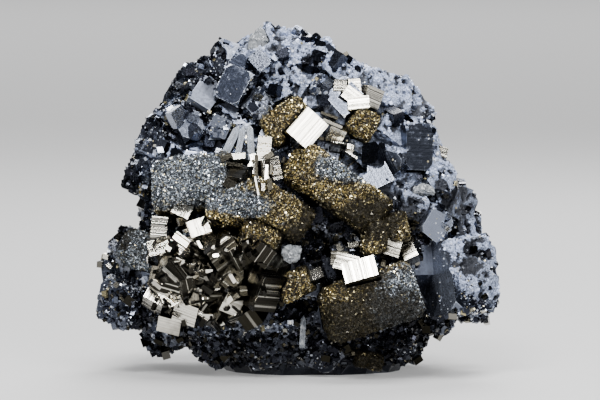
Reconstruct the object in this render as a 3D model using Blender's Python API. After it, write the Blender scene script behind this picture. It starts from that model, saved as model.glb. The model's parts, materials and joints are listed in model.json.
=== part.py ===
"""A cabinet specimen of chalcopyrite: a mound of intergrown galena crystals that carries blocky, crusted
chalcopyrite crystals, bright striated pyrite cubes and a few quartz prisms.

Metres, +Z up. The origin is on the flat foot, under the middle of the specimen, and the showy side faces -Y.
Tables are written in millimetres and multiplied by MM where they are used.
"""

import math

import bmesh
import bpy
from mathutils import Euler, Matrix, Vector, noise

MM = 0.001
SEAT_GAP = 0.3  # clearance between a crystal and the socket it grew in

# The mound, as level sections from the foot up: height, left edge, right edge, front edge, back edge.
MOUND_SECTIONS = (
    (0, -23, 30, -21, 21),
    (6, -29, 33, -26, 25),
    (13, -49, 37, -31, 28),
    (22, -56, 47, -35, 31),
    (31, -54, 53, -37, 33),
    (41, -51, 51, -37, 34),
    (51, -44, 48, -35, 34),
    (61, -47, 44, -31, 32),
    (71, -43, 37, -27, 30),
    (81, -37, 33, -22, 26),
    (89, -31, 26, -17, 21),
    (96, -23, 9, -12, 15),
    (101, -16, 2, -6, 8),
)
MOUND_SIDES = 20
MOUND_SQUARENESS = 2.5  # 2 gives elliptical sections, more gives squarer ones
MOUND_ROUGHNESS = 1.6
MOUND_GRAIN = 11.0  # width of the lumps that the roughness makes

FACING = {"front": 0, "right": 90, "back": 180, "left": -90}  # how far a side is turned from the front

# Each galena crystal: where it is across the side it grew on (x on the front and back, y on the left and
# right), its height, how far its middle stands out of the mound, its sides (width, depth, height), and its
# turn (pitch, yaw, roll) in degrees. Pitch below 0 turns its front face up, yaw above 0 turns it to the
# right, and roll is clockwise as seen from outside.
GALENA_CRYSTALS = {
    "front": (
        (47, 30, 1.0, (17.5, 17, 22), (-4, 38, -5)),
        (33, 68.5, 3.0, (9.5, 10, 14), (-6, 32, 5)),
        (26.5, 73, 0.5, (9, 9, 8), (-32, 10, 38)),
        (28, 65, 2.5, (7, 7, 7), (14, -20, 12)),
        (38.5, 46.5, 1.5, (9, 9, 9), (-15, 30, 40)),
        (33, 51.5, 0.5, (8, 8, 7), (10, 15, 15)),
        (22, 61, -0.5, (8, 7, 11), (-20, 10, -25)),
        (14, 82, -0.5, (9, 8, 11), (-30, 10, -38)),
        (25, 83, -3.0, (13, 12, 11), (-35, 20, 20)),
        (33, 78, -2.5, (9, 10, 12), (-20, 35, -30)),
        (40, 58, -1.5, (10, 10, 9), (-28, 25, 15)),
        (46, 51, -2.5, (10, 10, 10), (-20, 42, 30)),
        (49, 42, -2.5, (9, 9, 10), (-25, 45, 10)),
        (40, 18.5, -1.0, (9, 12, 7.5), (20, 25, 24)),
        (51, 19, -4.0, (9, 10, 7), (10, 35, 4)),
        (10.8, 90.5, 0.5, (11, 8, 6), (-22, 5, 40)),
        (1.5, 94, -1.0, (11, 9, 7), (-28, 20, 12)),
        (-1, 87, 0.5, (7, 7, 8), (12, -10, 35)),
        (-19, 86, 2.0, (8.5, 9, 11), (-10, -20, 24)),
        (-18, 91, 0.5, (6.5, 7, 7), (-24, -20, 50)),
        (-28.5, 83, 1.5, (7.5, 8, 9), (-28, -6, 32)),
        (-12, 93, 0.5, (6, 7, 8), (-18, -30, -30)),
        (-25, 90, -1.0, (9, 8, 6), (-20, -20, -28)),
        (-32, 87, -1.5, (8, 8, 8), (-30, -35, 20)),
        (-37, 77, -0.5, (8, 9, 9), (-20, -30, 35)),
        (-42, 69, -1.5, (10, 10, 11), (-20, -30, 15)),
        (-33, 74, -0.5, (8, 8, 8), (-15, -15, 60)),
        (-23, 75, 0.5, (6, 6, 6), (10, -15, 25)),
        (-13, 81, 0.0, (7, 7, 8), (-20, 10, 50)),
        (-5.5, 85, 0.5, (7, 7, 6), (-20, -12, -25)),
        (5.5, 86, -0.5, (7, 8, 6), (-24, 16, 32)),
        (-31, 65, 0.5, (6, 7, 5), (-18, -16, 28)),
        (-45, 59, -3.0, (10, 11, 13), (-10, -40, 15)),
        (-43.5, 47, -1.0, (4.5, 8, 11), (-5, -20, 8)),
        (-51, 37, -2.0, (9, 9, 9), (-20, -40, 35)),
        (-51, 22, -3.0, (13, 14, 13), (15, -40, 20)),
        (-38, 15, -3.0, (10, 10, 7), (25, -15, 10)),
        (-25, 8.5, -1.0, (9, 9, 8), (20, -10, 35)),
        (-10, 9, -2.0, (12, 9, 9), (18, 5, -20)),
        (7, 8, -1.5, (9, 9, 9), (22, 10, 30)),
        (28, 10, -3.0, (10, 10, 8), (25, 25, 20)),
        (-8, 99, -6.0, (9, 9, 7), (-35, 15, 20)),
        (0, 97, -9.0, (9, 10, 7), (-30, -20, 35)),
        (6.5, 94, -8.0, (8, 10, 8), (-30, 10, -20)),
        (13.5, 88.5, -9.0, (9, 11, 8), (-32, -10, 30)),
        (23, 83.5, -9.0, (10, 12, 8), (-30, 20, 10)),
        (-21, 93.5, -8.0, (9, 10, 7), (-30, -10, 20)),
        (-29, 87.5, -9.0, (9, 10, 8), (-32, 10, -30)),
    ),
    "back": (
        (-38, 20, -4.0, (17, 15, 14), (12, 20, 12)),
        (-16, 14, -3.0, (16, 13, 12), (10, -14, 32)),
        (10, 17, -4.0, (20, 14, 16), (-6, 12, -16)),
        (34, 20, -4.0, (16, 14, 15), (14, -20, 28)),
        (-26, 34, -3.0, (20, 13, 18), (-14, 14, 24)),
        (0, 38, -4.0, (18, 15, 21), (10, -8, 8)),
        (24, 40, -3.5, (19, 14, 16), (-16, -18, -30)),
        (-17, 57, -3.0, (19, 13, 17), (-20, 12, -34)),
        (9, 61, -3.5, (21, 13, 18), (-14, -4, 14)),
        (31, 63, -4.5, (15, 13, 17), (-26, -26, -12)),
        (-32, 74, -4.0, (14, 12, 14), (-24, 26, 30)),
        (-10, 77, -3.0, (18, 12, 15), (-26, 6, -8)),
        (13, 81, -3.5, (15, 12, 13), (-28, -14, 36)),
        (-20, 90, -3.0, (13, 10, 10), (-32, 16, 18)),
        (1, 93, -3.0, (14, 9, 9), (-34, -4, -26)),
    ),
    "left": (
        (4, 26, -4.0, (18, 15, 17), (8, -10, -15)),
        (-13, 34, -4.0, (12, 11, 12), (-10, 20, 25)),
        (21, 42, -4.5, (15, 12, 15), (-12, -25, 30)),
        (2, 49, -4.0, (14, 12, 13), (-10, 10, 40)),
        (12, 63, -4.5, (15, 12, 14), (-18, -12, -25)),
        (4, 80, -3.5, (13, 11, 13), (-28, 5, 35)),
        (6, 12, -4.0, (14, 12, 11), (20, 6, 20)),
    ),
    "right": (
        (6, 26, -5.0, (17, 13, 16), (10, -5, 15)),
        (22, 34, -4.5, (14, 12, 15), (5, 25, 20)),
        (4, 47, -4.0, (15, 13, 15), (-8, 8, -20)),
        (16, 60, -4.5, (14, 12, 13), (-20, 14, 35)),
        (-2, 66, -4.0, (12, 11, 11), (-20, -10, -15)),
        (4, 80, -3.5, (13, 10, 12), (-28, 6, 20)),
        (4, 9, -3.0, (13, 11, 10), (22, 4, -18)),
    ),
}
# The share of the shortest side that a crystal's corners lose runs from the first to the second of these.
GALENA_CORNER_CUT = (0.05, 0.18)

# Hollows between the crystals: x, z, how deep the middle lies under the mound's skin, and the half widths.
HOLLOWS = (
    (15.8, 64, 1.0, (5.0, 7, 4.4), 35),
    (-29, 68.5, 0.0, (7.0, 5, 2.4), -6),
    (-38, 72.5, 1.0, (4.0, 4, 3.2), 20),
    (3, 41, 1.0, (7.5, 8, 5.5), 20),
    (-2, 21, 1.0, (8.0, 8, 4.5), -14),
    (2.5, 12, 1.0, (4.5, 6, 5.0), 0),
    (-45.5, 53, 0.5, (4.5, 6, 3.2), 30),
)

# Each chalcopyrite node: its blocks, with the same columns as the galena crystals.
CHALCOPYRITE_BLOCKS = {
    "chalcopyrite_left": ((-31, 58, 1.5, (28, 15, 16), (-26, -8, -6)),),
    "chalcopyrite_mid_left": (
        (-8, 51.5, 5.5, (25, 15, 11.5), (-14, 14, 33)),
        (-19, 51, 3.5, (18, 14, 10.5), (-20, -8, -4)),
        (-11.5, 43.5, 3.5, (13, 11, 10), (8, -5, 22)),
    ),
    "chalcopyrite_centre": ((11.5, 56.5, 3.5, (34, 15, 14), (-10, 8, 37)),),
    "chalcopyrite_upper": ((-4, 76, 2.5, (15, 12, 11), (-12, -4, -34)),),
    "chalcopyrite_upper_right": ((18.6, 75.5, 2.5, (8.5, 8.5, 9.5), (-8, 6, 30)),),
    "chalcopyrite_right": (
        (22.3, 43, 5.0, (7.5, 9, 11), (-6, 6, 6)),
        (28, 45, 3.5, (8, 9, 10), (-10, 16, -12)),
    ),
    "chalcopyrite_low_right": ((21, 24, 4.0, (31, 19, 16), (-16, 6, -17)),),
    "chalcopyrite_low_centre": ((-1.5, 29, 2.0, (11, 9, 8), (-6, 2, -24)),),
    "chalcopyrite_low_left": ((-47, 37.5, 1.5, (13, 11, 11), (-18, -28, 18)),),
    "chalcopyrite_foot": ((20.5, 4.8, 1.5, (9, 7, 5), (10, 6, 14)),),
    "chalcopyrite_back": ((-31, 46, 1.0, (17, 12, 12), (-12, 16, 20)),),
    "chalcopyrite_back_upper": ((22, 72, 0.5, (14, 10, 11), (-22, -16, -30)),),
}
BACK_BLOCKS = ("chalcopyrite_back", "chalcopyrite_back_upper")
CHALCOPYRITE_CORNER_CUT = 0.20
CHALCOPYRITE_EDGE_CUT = 0.09
CHALCOPYRITE_TAPER = 0.16  # the front face is narrower than the rooted one by this share

# Each pyrite node: its cubes, with the same columns.
PYRITE_CUBES = {
    "pyrite_centre": ((1.3, 74.2, 6.5, (8.4, 9, 9.8), (-15, 2, 42)),),
    "pyrite_plates": (
        (-11, 67, 4.5, (4.0, 7, 9.5), (-16, 4, 6)),
        (-8.2, 62.5, 4.5, (3.2, 6, 7.0), (-12, 24, -8)),
        (-13.4, 62.8, 4.0, (3.2, 6, 5.0), (-20, -12, 22)),
        (-10.8, 59.8, 5.0, (2.6, 5, 5.0), (-10, 8, 4)),
    ),
    "pyrite_sliver": ((-18.5, 65.3, 3.5, (5.2, 5, 2.0), (-30, -6, -4)),),
    "pyrite_dull_cube": ((-17.8, 60.8, 6.8, (5.4, 5, 4.6), (-38, -30, 8)),),
    "pyrite_upper_right": (
        (12.2, 86.6, 2.0, (3.8, 5, 3.4), (-8, -4, 2)),
        (16.0, 86.4, 2.2, (3.6, 5, 4.0), (-14, 8, -4)),
        (15.2, 83.4, 3.6, (6.0, 5, 4.2), (-16, 4, 36)),
        (17.6, 81.0, 4.2, (6.4, 5, 4.0), (-24, -2, -6)),
        (21.0, 83.2, 2.4, (5.4, 5, 6.0), (-10, 22, 24)),
    ),
    "pyrite_dark_cube": ((10.4, 73.2, 2.4, (5.2, 5, 4.6), (16, 12, 24)),),
    "pyrite_right_plate": ((12.5, 68.6, 2.2, (6.5, 5, 1.6), (-24, 8, 10)),),
    "pyrite_right_speck": ((42.4, 65.0, 0.2, (3.0, 5, 3.4), (-26, 14, 20)),),
    "pyrite_low_right": (
        (18, 32.6, 7.8, (10, 7, 6.4), (-26, -2, -16)),
        (11.2, 36.6, 3.0, (5, 7, 4.2), (-8, 6, 4)),
        (14.2, 34.4, 4.6, (7, 8, 5.0), (-20, -14, 12)),
    ),
    "pyrite_striped": ((26.3, 39.6, 4.4, (5.6, 6, 5.0), (-14, 10, 18)),),
    "pyrite_right_wedge": ((32.3, 37.6, 2.6, (4.4, 6, 5.0), (-24, 4, -24)),),
    "pyrite_bow": ((5.2, 31.6, 2.6, (4.4, 5, 3.4), (-20, -8, -22)),),
    "pyrite_side": ((-45.2, 50.0, 0.0, (5, 6, 5.4), (-14, -34, 20)),),
    "pyrite_back": (
        (-8, 49, 1.0, (8, 9, 8), (-14, 12, 30)),
        (-2.6, 46, 1.0, (6, 8, 6), (-20, -20, 10)),
    ),
    "pyrite_back_low": ((14, 29, 0.8, (9, 9, 8), (-20, -16, 34)),),
}
BACK_CUBES = ("pyrite_back", "pyrite_back_low")

# The heap of pyrite on the lower left: cubes grown together on one lump.
HEAP_LUMP = (-23, 31.5, -1.5, (21, 9, 14.5), -8)
HEAP_CUBES = (
    (-35.2, 49.2, 3.0, (5.6, 8, 5.0), (-26, -6, 24)),
    (-41.0, 44.2, 2.5, (5.0, 8, 7.6), (-6, -14, 4)),
    (-41.2, 38.4, 3.5, (6.4, 7, 5.0), (-24, -8, -16)),
    (-35.4, 39.6, 4.5, (5.4, 6, 6.2), (-8, -24, 34)),
    (-29.5, 44.0, 4.0, (6.5, 8, 5.4), (-30, 6, -18)),
    (-30.5, 38.6, 5.5, (5.6, 6, 5.4), (8, 14, 30)),
    (-24.2, 39.0, 5.0, (9.4, 9, 8.4), (16, 18, -36)),
    (-17.8, 38.4, 5.0, (7.6, 8, 6.4), (12, 14, -30)),
    (-12.4, 38.6, 5.0, (6.4, 8, 6.0), (-6, 24, 38)),
    (-30.4, 33.4, 7.5, (4.4, 5, 3.4), (-22, -2, 2)),
    (-33.2, 33.8, 7.2, (9.0, 5, 1.6), (-16, 0, 32)),
    (-26.0, 31.6, 6.5, (5.4, 6, 4.6), (10, -20, 20)),
    (-40.6, 29.4, 4.5, (7.0, 8, 5.4), (-28, -10, 8)),
    (-42.6, 24.4, 3.5, (6.4, 8, 6.2), (-24, -6, 28)),
    (-37.8, 24.0, 4.2, (6.0, 8, 6.6), (-24, 4, -28)),
    (-33.4, 28.4, 6.2, (5.6, 6, 5.0), (6, 18, -14)),
    (-29.6, 25.0, 6.2, (6.2, 6, 3.8), (-26, -2, -6)),
    (-32.6, 20.6, 4.0, (7.4, 8, 6.0), (14, -18, 18)),
    (-25.6, 19.6, 5.4, (6.6, 7, 6.0), (-12, -26, 32)),
    (-19.2, 20.4, 6.4, (4.6, 5, 3.2), (-26, 2, -22)),
    (-20.6, 24.6, 6.2, (6.0, 7, 6.4), (12, 20, 24)),
    (-20.8, 30.0, 7.0, (4.0, 6, 6.4), (-20, 4, 44)),
    (-24.6, 28.0, 7.0, (4.4, 6, 3.4), (-24, -10, -10)),
    (-16.2, 26.4, 6.0, (4.4, 6, 3.0), (-20, 12, 2)),
    (-11.6, 28.0, 5.6, (9, 9, 11), (16, 44, 10)),
    (-14.0, 19.8, 4.0, (6.4, 7, 5.4), (12, -24, -30)),
    (-38.0, 17.2, 2.0, (7.0, 8, 5.0), (22, -10, 14)),
)

# Quartz prisms: x, z, how far the middle stands out, thickness, length, and turn.
QUARTZ_PRISMS = {
    "quartz_peak": (-12.6, 97.5, -3.0, 7.0, 5.0, (-4, 0, 6)),
    "quartz_prism_left": (-21.0, 69.6, 3.4, 2.7, 9.6, (-12, 0, 27)),
    "quartz_prism_middle": (-17.8, 70.0, 3.8, 2.0, 8.4, (-14, 0, 12)),
    "quartz_prism_right": (-14.6, 69.8, 4.2, 2.3, 9.2, (-12, 0, -4)),
    "quartz_prism_low": (0.8, 13.6, 1.2, 1.9, 8.4, (4, 0, 3)),
}
# Rounded lumps of quartz: x, z, how far the middle stands out, half widths, and roll.
QUARTZ_LUMPS = {
    "quartz_lump_centre": (-2.2, 38.4, 5.2, (3.4, 4.0, 3.0), 12),
    "quartz_flake_right": (36.5, 55.8, 2.2, (3.6, 3.4, 2.2), 8),
    "quartz_lump_back": (33, 44, 0.5, (6.0, 4.4, 5.0), 20),
}

COLOURS = {
    "galena": ((0.30, 0.32, 0.37), 0.42, 0.75),
    "chalcopyrite": ((0.42, 0.34, 0.20), 0.40, 0.85),
    "pyrite": ((0.80, 0.74, 0.56), 0.18, 1.0),
    "quartz": ((0.72, 0.76, 0.82), 0.25, 0.0),
}


def material(name):
    """One plain finish for each mineral."""
    colour, roughness, metallic = COLOURS[name]
    finish = bpy.data.materials.new(name)
    finish.use_nodes = True
    shader = finish.node_tree.nodes["Principled BSDF"]
    shader.inputs["Base Color"].default_value = (*colour, 1)
    shader.inputs["Roughness"].default_value = roughness
    shader.inputs["Metallic"].default_value = metallic
    return finish


def collection(name, helper=False):
    made = bpy.data.collections.new(name)
    bpy.context.scene.collection.children.link(made)
    made.hide_render = helper
    return made


def section_at(height):
    """The mound's edges (left, right, front, back) at a height, between the two nearest sections."""
    for low, high in zip(MOUND_SECTIONS, MOUND_SECTIONS[1:]):
        if height <= high[0]:
            break
    share = min(max((height - low[0]) / (high[0] - low[0]), 0), 1)
    return [a + (b - a) * share for a, b in zip(low[1:], high[1:])]


def mound_skin(across, height, side):
    """Where the mound's skin lies at a place on a side: y on the front and back, x on the left and right."""
    left, right, front, back = section_at(height)
    if side in ("front", "back"):
        near, far, low, high = front, back, left, right
    else:
        near, far, low, high = left, right, front, back
    share = min(abs(across - (low + high) / 2) / ((high - low) / 2), 1)
    bulge = (1 - share**MOUND_SQUARENESS) ** (1 / MOUND_SQUARENESS)
    middle, half = (near + far) / 2, (far - near) / 2
    return middle - half * bulge if side in ("front", "left") else middle + half * bulge


def placed(side, across, height, stand, turn):
    """Where a crystal sits on one side of the mound, with its front face turned outwards."""
    skin = mound_skin(across, height, side)
    outwards = skin - stand if side in ("front", "left") else skin + stand
    place = (across, outwards, height) if side in ("front", "back") else (outwards, across, height)
    facing = Matrix.Rotation(math.radians(FACING[side]), 4, "Z")
    pitch, yaw, roll = (math.radians(angle) for angle in turn)
    # The order XZY pitches first, then yaws, and rolls last in the plane of view.
    return Matrix.Translation(place) @ facing @ Euler((pitch, roll, yaw), "XZY").to_matrix().to_4x4()


def finished(name, shape, group, place):
    """Turns a shape in millimetres into an object in metres."""
    bmesh.ops.recalc_face_normals(shape, faces=shape.faces)
    shape.transform(Matrix.Scale(MM, 4) @ place)
    mesh = bpy.data.meshes.new(name)
    shape.to_mesh(mesh)
    shape.free()
    made = bpy.data.objects.new(name, mesh)
    group.objects.link(made)
    return made


def cube_shape(sides, grow=0.0):
    """A cube or a box, each face moved out by grow."""
    shape = bmesh.new()
    bmesh.ops.create_cube(shape, size=1)
    shape.transform(Matrix.Diagonal([side + 2 * grow for side in sides]).to_4x4())
    return shape


def cut_corners(shape, depth):
    bmesh.ops.bevel(shape, geom=list(shape.verts), offset=depth, segments=1, affect="VERTICES")


def cut_edges(shape, depth):
    bmesh.ops.bevel(
        shape, geom=list(shape.edges), offset=depth, segments=1, profile=0.5, affect="EDGES"
    )


def galena_shape(sides, grow=0.0):
    """A cube whose corners are cut by octahedron faces, deeper on some crystals than on others."""
    shape = cube_shape(sides, grow)
    least, most = GALENA_CORNER_CUT
    share = least + (most - least) * (sum(sides) * 0.618 % 1)
    cut_corners(shape, min(sides) * share * math.sqrt(2))
    return shape


def chalcopyrite_shape(sides, grow=0.0):
    """A blunt sphenoid: a block that narrows outwards, two of whose corners are cut deeper than the rest."""
    shape = cube_shape(sides)
    for corner in shape.verts:
        if corner.co.y < 0:
            corner.co.x *= 1 - CHALCOPYRITE_TAPER
            corner.co.z *= 1 - CHALCOPYRITE_TAPER
    shape.verts.ensure_lookup_table()
    deep = [v for v in shape.verts if v.co.x * v.co.y * v.co.z > 0]
    bmesh.ops.bevel(
        shape,
        geom=deep,
        offset=min(sides) * CHALCOPYRITE_CORNER_CUT * math.sqrt(2),
        segments=1,
        affect="VERTICES",
    )
    cut_edges(shape, min(sides) * CHALCOPYRITE_EDGE_CUT)
    # The socket's shape is the crystal's own, swollen by the gap on its shortest side.
    shape.transform(Matrix.Diagonal([1 + 2 * grow / (side * 0.8) for side in sides]).to_4x4())
    return shape


def prism_shape(thickness, length, grow=0.0):
    """A six-sided prism with a pointed upper end."""
    shape = bmesh.new()
    radius = thickness / 2 + grow
    bmesh.ops.create_cone(
        shape, cap_ends=True, segments=6, radius1=radius, radius2=radius, depth=length + 2 * grow
    )
    upper = max(shape.faces, key=lambda face: face.calc_center_median().z)
    point = bmesh.ops.poke(shape, faces=[upper])["verts"][0]
    point.co.z += thickness * 0.7
    return shape


def lump_shape(half_widths, seed, roughness=0.16, detail=2, grow=0.0):
    """A rough pebble-like lump."""
    shape = bmesh.new()
    bmesh.ops.create_icosphere(shape, subdivisions=detail, radius=1)
    for point in shape.verts:
        offset = noise.noise(point.co * 1.7 + Vector((seed, 0, 0)))
        point.co *= 1 + roughness * offset
    shape.transform(Matrix.Diagonal([half + grow for half in half_widths]).to_4x4())
    return shape


def mound_shape():
    """The rock that everything grew on: a cylinder cut into levels, each moved out to its section."""
    shape = bmesh.new()
    foot, top = MOUND_SECTIONS[0][0], MOUND_SECTIONS[-1][0]
    bmesh.ops.create_cone(
        shape, cap_ends=True, segments=MOUND_SIDES, radius1=1, radius2=1, depth=top - foot
    )
    bmesh.ops.translate(shape, verts=shape.verts, vec=(0, 0, (top + foot) / 2))
    for height, *_ in MOUND_SECTIONS[1:-1]:
        bmesh.ops.bisect_plane(
            shape,
            geom=shape.verts[:] + shape.edges[:] + shape.faces[:],
            plane_co=(0, 0, height),
            plane_no=(0, 0, 1),
        )
    for point in shape.verts:
        height = point.co.z
        left, right, front, back = section_at(height)
        angle = math.atan2(point.co.y, point.co.x)
        reach = (
            abs(math.cos(angle)) ** MOUND_SQUARENESS + abs(math.sin(angle)) ** MOUND_SQUARENESS
        ) ** (-1 / MOUND_SQUARENESS)
        x = (left + right) / 2 + (right - left) / 2 * reach * math.cos(angle)
        y = (front + back) / 2 + (back - front) / 2 * reach * math.sin(angle)
        bump = noise.noise(Vector((x, y, height)) / MOUND_GRAIN) * MOUND_ROUGHNESS
        outwards = Vector((math.cos(angle), math.sin(angle), 0))
        level = height + 0.8 * bump * (foot < height < top)
        point.co = Vector((x, y, level)) + outwards * bump
    return shape


def largest_piece(mesh):
    """Drops the crumbs that a cut leaves loose, and keeps the largest piece."""
    shape = bmesh.new()
    shape.from_mesh(mesh)
    unseen = set(shape.verts)
    pieces = []
    while unseen:
        piece, edge_of_piece = set(), [unseen.pop()]
        while edge_of_piece:
            point = edge_of_piece.pop()
            piece.add(point)
            near = {edge.other_vert(point) for edge in point.link_edges} & unseen
            unseen -= near
            edge_of_piece.extend(near)
        pieces.append(piece)
    pieces.sort(key=len)
    crumbs = [point for piece in pieces[:-1] for point in piece]
    bmesh.ops.delete(shape, geom=crumbs, context="VERTS")
    shape.to_mesh(mesh)
    shape.free()


def touching(first, second):
    """Whether the bounding boxes of two unmoved objects overlap."""
    boxes = [[Vector(corner) for corner in (obj.bound_box[0], obj.bound_box[6])] for obj in (first, second)]
    (low_1, high_1), (low_2, high_2) = boxes
    return all(low_1[axis] < high_2[axis] and low_2[axis] < high_1[axis] for axis in range(3))


def combine(obj, operation, others):
    """Joins other objects to this one, or cuts them from it, in one Boolean."""
    if not others:
        return
    group = collection(f"{obj.name}_{operation.lower()}", helper=True)
    for other in others:
        group.objects.link(other)
    change = obj.modifiers.new(operation.lower(), "BOOLEAN")
    change.operation = operation
    change.operand_type = "COLLECTION"
    change.collection = group
    change.solver = "EXACT"
    bpy.context.view_layer.update()
    graph = bpy.context.evaluated_depsgraph_get()
    mesh = bpy.data.meshes.new_from_object(obj.evaluated_get(graph))
    obj.modifiers.clear()
    largest_piece(mesh)
    obj.data = mesh


class Specimen:
    """Builds each node in turn, and keeps the sockets that later nodes are cut by."""

    def __init__(self):
        self.nodes = collection("chalcopyrite_specimen")
        self.helpers = collection("helpers", helper=True)
        self.sockets = []
        self.finishes = {name: material(name) for name in COLOURS}

    def helper(self, name, shape, place):
        made = finished(name, shape, self.helpers, place)
        made.display_type = "WIRE"
        made.hide_render = True
        return made

    def add_node(self, name, mineral, shapes):
        """One node, joined from shapes: pairs of a function of how much to grow, and a place."""
        first, *rest = (
            self.helper(f"{name}_shape_{number}", make(0.0), place)
            for number, (make, place) in enumerate(shapes)
        )
        node = bpy.data.objects.new(name, first.data)
        self.nodes.objects.link(node)
        combine(node, "UNION", rest)
        combine(node, "DIFFERENCE", [socket for socket in self.sockets if touching(node, socket)])
        node.data.materials.clear()
        node.data.materials.append(self.finishes[mineral])
        for number, (make, place) in enumerate(shapes):
            self.sockets.append(self.helper(f"{name}_socket_{number}", make(SEAT_GAP), place))
        return node


def crystals(shape, rows, side):
    """The shapes and places of a table's crystals, as add_node takes them."""
    return [
        (lambda grow, sides=sides: shape(sides, grow), placed(side, x, z, stand, turn))
        for x, z, stand, sides, turn in rows
    ]


def lump(side, row, seed, detail=2):
    x, z, stand, half_widths, roll = row
    return (
        lambda grow: lump_shape(half_widths, seed, detail=detail, grow=grow),
        placed(side, x, z, stand, (0, 0, roll)),
    )


def build_quartz(specimen):
    for name, (x, z, stand, thickness, length, turn) in QUARTZ_PRISMS.items():
        place = placed("front", x, z, stand, turn)
        shape = (lambda grow, t=thickness, n=length: prism_shape(t, n, grow), place)
        specimen.add_node(name, "quartz", [shape])
    for seed, (name, row) in enumerate(QUARTZ_LUMPS.items()):
        side = "back" if name.endswith("back") else "front"
        specimen.add_node(name, "quartz", [lump(side, row, seed)])


def build_pyrite(specimen):
    for name, rows in PYRITE_CUBES.items():
        side = "back" if name in BACK_CUBES else "front"
        specimen.add_node(name, "pyrite", crystals(cube_shape, rows, side))
    heap = [lump("front", HEAP_LUMP, seed=11, detail=2)]
    heap += crystals(cube_shape, HEAP_CUBES, "front")
    specimen.add_node("pyrite_heap", "pyrite", heap)


def build_chalcopyrite(specimen):
    for name, rows in CHALCOPYRITE_BLOCKS.items():
        side = "back" if name in BACK_BLOCKS else "front"
        specimen.add_node(name, "chalcopyrite", crystals(chalcopyrite_shape, rows, side))


def build_galena(specimen):
    for number, row in enumerate(HOLLOWS):
        make, place = lump("front", row, seed=20 + number, detail=2)
        specimen.sockets.append(specimen.helper(f"hollow_{number}", make(0.0), place))
    shapes = [(lambda grow: mound_shape(), Matrix())]
    for side, rows in GALENA_CRYSTALS.items():
        shapes += crystals(galena_shape, rows, side)
    specimen.add_node("galena_mass", "galena", shapes)


def main():
    for old in list(bpy.data.objects):
        bpy.data.objects.remove(old)
    specimen = Specimen()
    build_quartz(specimen)
    build_pyrite(specimen)
    build_chalcopyrite(specimen)
    build_galena(specimen)


main()
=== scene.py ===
"""Dresses the chalcopyrite specimen: crusted galena, grain-coated chalcopyrite, striped pyrite and quartz.

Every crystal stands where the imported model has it. Numbers in tables and in functions are millimetres unless
they say otherwise, and become metres through MM. +Z is up and the showy side faces -Y.
"""

import json
import math

import bpy
import numpy as np
from bpy.props import FloatProperty, FloatVectorProperty, IntProperty, PointerProperty
from mathutils import Euler, Matrix, Vector, noise
from mathutils.bvhtree import BVHTree

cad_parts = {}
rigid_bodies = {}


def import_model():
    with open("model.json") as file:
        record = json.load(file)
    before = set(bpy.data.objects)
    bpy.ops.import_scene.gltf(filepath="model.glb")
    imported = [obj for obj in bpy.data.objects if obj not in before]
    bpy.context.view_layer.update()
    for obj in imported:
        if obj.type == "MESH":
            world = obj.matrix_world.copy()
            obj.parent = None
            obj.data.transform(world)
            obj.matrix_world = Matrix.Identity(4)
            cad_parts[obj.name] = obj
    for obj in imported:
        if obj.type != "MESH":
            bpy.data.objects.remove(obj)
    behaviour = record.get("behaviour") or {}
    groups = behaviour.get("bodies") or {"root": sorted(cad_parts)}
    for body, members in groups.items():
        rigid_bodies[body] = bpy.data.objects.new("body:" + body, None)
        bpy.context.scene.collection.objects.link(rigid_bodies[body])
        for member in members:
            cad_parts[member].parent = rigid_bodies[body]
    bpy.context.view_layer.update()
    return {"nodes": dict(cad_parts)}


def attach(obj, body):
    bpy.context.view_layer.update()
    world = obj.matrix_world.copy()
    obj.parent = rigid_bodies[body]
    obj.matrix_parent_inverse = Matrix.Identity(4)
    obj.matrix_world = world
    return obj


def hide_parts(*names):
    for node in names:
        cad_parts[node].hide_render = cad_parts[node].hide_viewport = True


bl_info = {
    "name": "Chalcopyrite specimen",
    "version": (1, 0, 0),
    "blender": (4, 5, 0),
    "location": "3D View > Sidebar > Specimen",
    "description": "Dresses a packed mineral specimen with crusts, grains and crystal finishes",
    "category": "Object",
}

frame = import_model()
NODES = sorted(frame["nodes"])
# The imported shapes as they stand, before anything stands for them.
SHAPES = [frame["nodes"][name] for name in NODES]

MM = 0.001
MERGE_DISTANCE = 0.01 * MM
FLAT_ANGLE = math.radians(0.6)
WORN_ANGLE = math.radians(40)
RIM_ANGLE = math.radians(32)
MOST_HALVINGS = 12
WEIGHT_STEPS = 64
# The search for walls round a point: how many rays, how far they go and how far out of the face they start.
RAYS, RAY_REACH, RAY_START = 14, 5.0, 0.35
# The share by which a scattered crystal's sides differ, and how strongly small ones outnumber large ones.
SQUASH, SMALL_BIAS = 0.35, 2.2
HEAP_BLADES = 110
# Side of the plain cube that the small crystals start from, in metres.
CUBE_SIDE = 0.8

# A patch is an upright ellipse seen from the front: x, z, half width, half height.
# The pale coat lies to the upper right of the line through these two points (x, z), and in these patches.
COAT_LINE = ((-10.5, 86.7), (59.4, 19.2))
COAT_PATCHES = ((-38, 67, 13, 3.5), (-2, 94, 12, 6), (54, 36, 8, 12))
# Patches where faces stand clean out of the coat, with the least and the most that such a face turns to the
# right, and how light it is painted, from 0 to 1: painted light and shade for how bright the face looks.
BARE_FACES = (
    (41, 29, 7, 12, -1, 0.35, 0.8),
    (41, 24, 7, 5, -1, 0.35, 0.82),
    (34, 68, 6, 9, -1, 1, 0.5),
    (28, 64, 4, 5, -1, 1, 0.35),
    (-20, 85, 5, 7, -1, 1, 0.14),
    (-18, 93, 4, 4, -1, 1, 0.15),
    (-29, 83, 4, 5, -1, 0.3, 1.0),
    (39, 46, 4, 5, -1, 1, 0.75),
    (14, 84, 6, 7, -1, 1, 0.5),
    (-36, 69, 6, 5, -1, 1, 0.3),
    (22, 60, 4, 6, -1, 1, 0.7),
)
CLEAN_PATCHES = tuple(row[:4] for row in BARE_FACES)
# Where right-hand faces are never bare.
COATED_PATCHES = ((53, 32, 8, 14),)
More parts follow.
